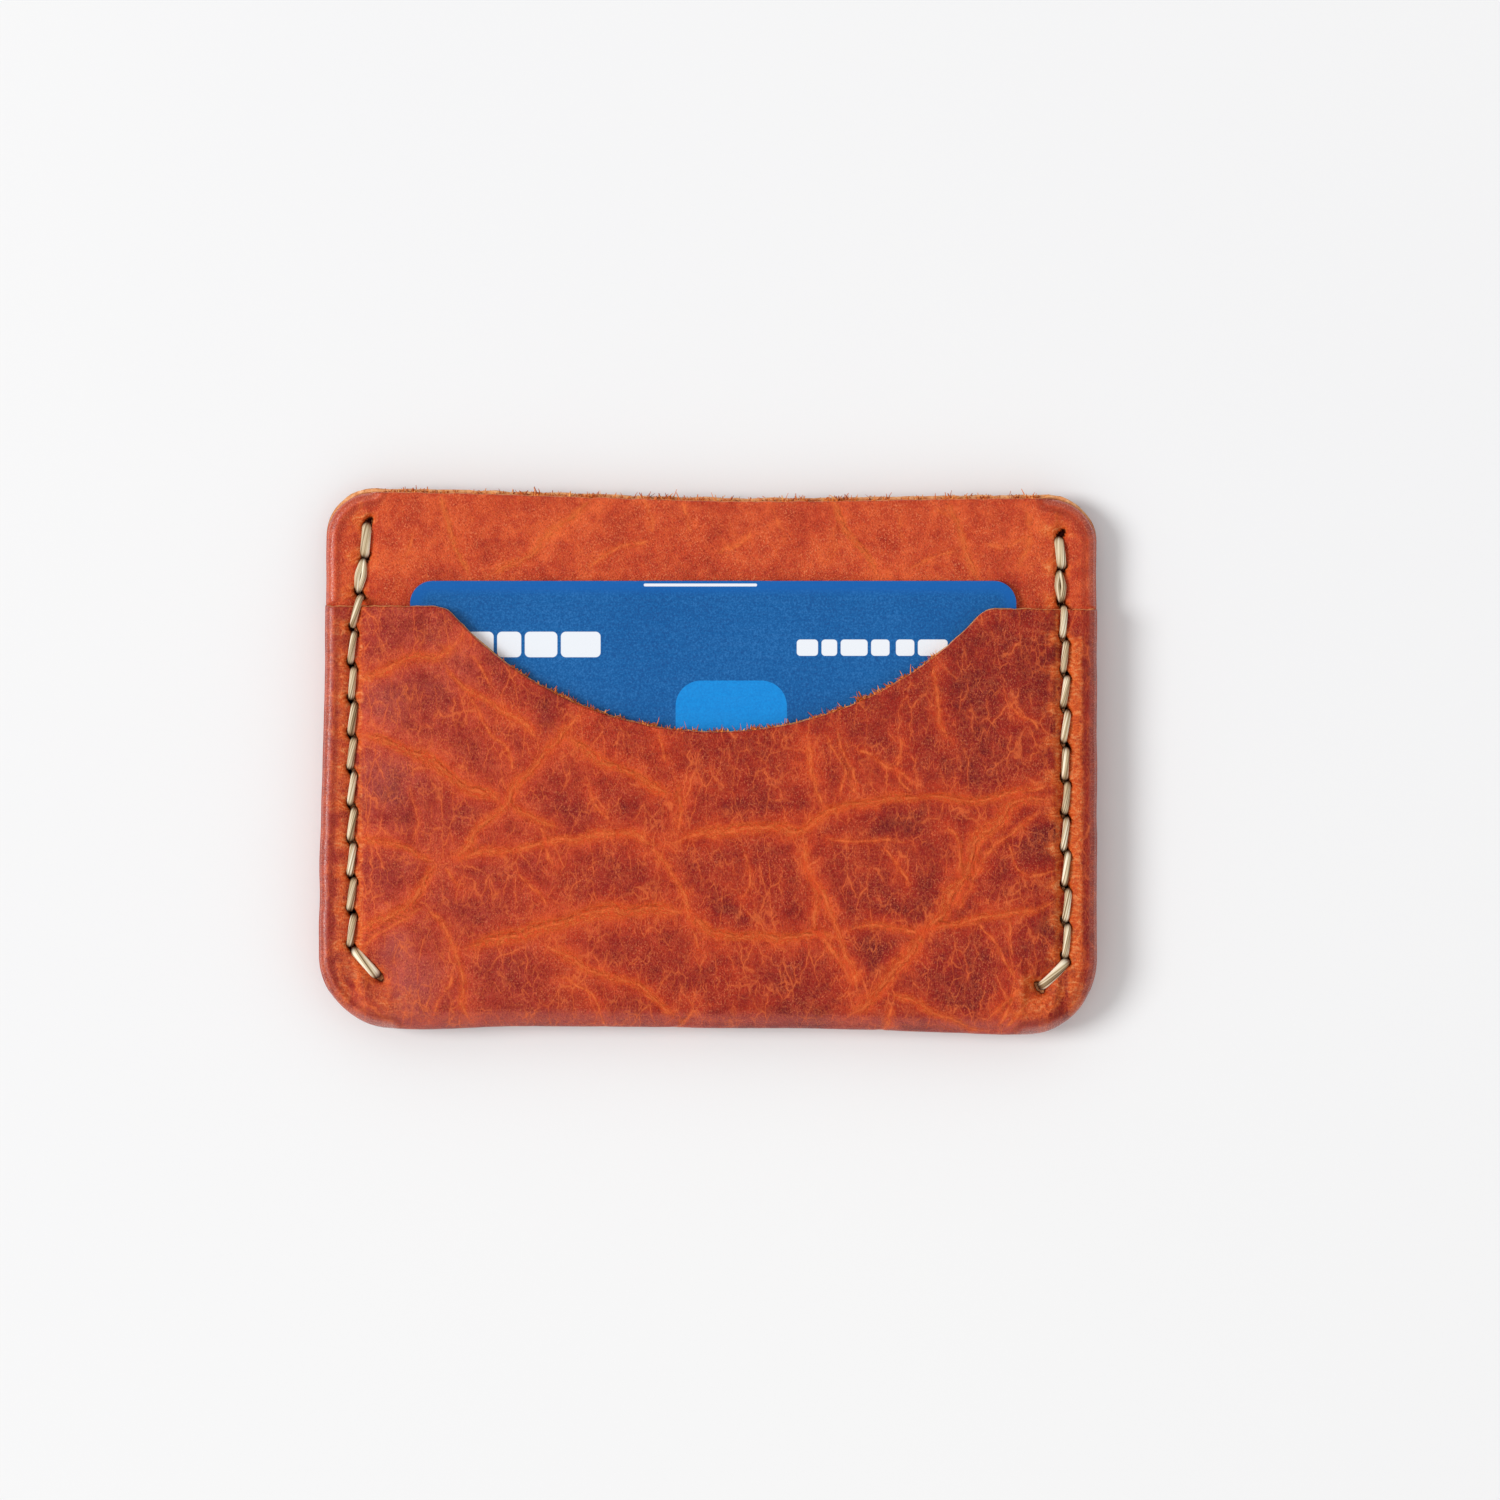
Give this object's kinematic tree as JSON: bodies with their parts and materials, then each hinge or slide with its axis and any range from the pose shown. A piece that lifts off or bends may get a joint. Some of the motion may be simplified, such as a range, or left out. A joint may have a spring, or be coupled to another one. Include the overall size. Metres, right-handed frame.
{
  "type": "leather card holder",
  "caption": "Slim leather card holder with a front pocket and thumb notch, stitched side seams and a card that slides up out of the front pocket.",
  "frame": {"origin": "middle of the holder's outline in X and Y, on the flat back face of the rear pocket", "axes": "+X across the width, to the right seen from the front; +Y from the bottom fold to the open top edge; +Z out of the front face, so the holder lies on its back"},
  "size_m": [0.109, 0.0754, 0.008],
  "materials": {
    "wrap_leather": "waxed, satin, creased, rust brown",
    "front_panel_leather": "waxed, satin, rust brown",
    "rear_panel_leather": "waxed, satin, rust brown",
    "left_thread": "waxed, tan",
    "right_thread": "waxed, tan",
    "card_core_white": "matt white",
    "card_front_print": "printed blue, satin laminate",
    "card_back_print": "printed dark blue, satin laminate",
    "card_chip_contacts": "gold-plated contacts",
    "card_stripe": "black magnetic coating",
    "card_signature": "matt writing panel"
  },
  "bodies": {
    "holder": {"outer_wrap": "wrap_leather", "front_panel": "front_panel_leather", "rear_panel": "rear_panel_leather", "left_seam_thread": "left_thread", "right_seam_thread": "right_thread"},
    "card": {"card_core": "card_core_white", "card_front_sheet": "card_front_print", "card_back_sheet": "card_back_print", "card_chip_module": "card_chip_contacts", "card_magnetic_stripe": "card_stripe", "card_signature_panel": "card_signature"}
  },
  "joints": [
    {"name": "card_slide", "type": "slide", "parent": "holder", "child": "card", "axis": [0, 1, 0], "range_m": [-0.0055, 0.05]}
  ]
}
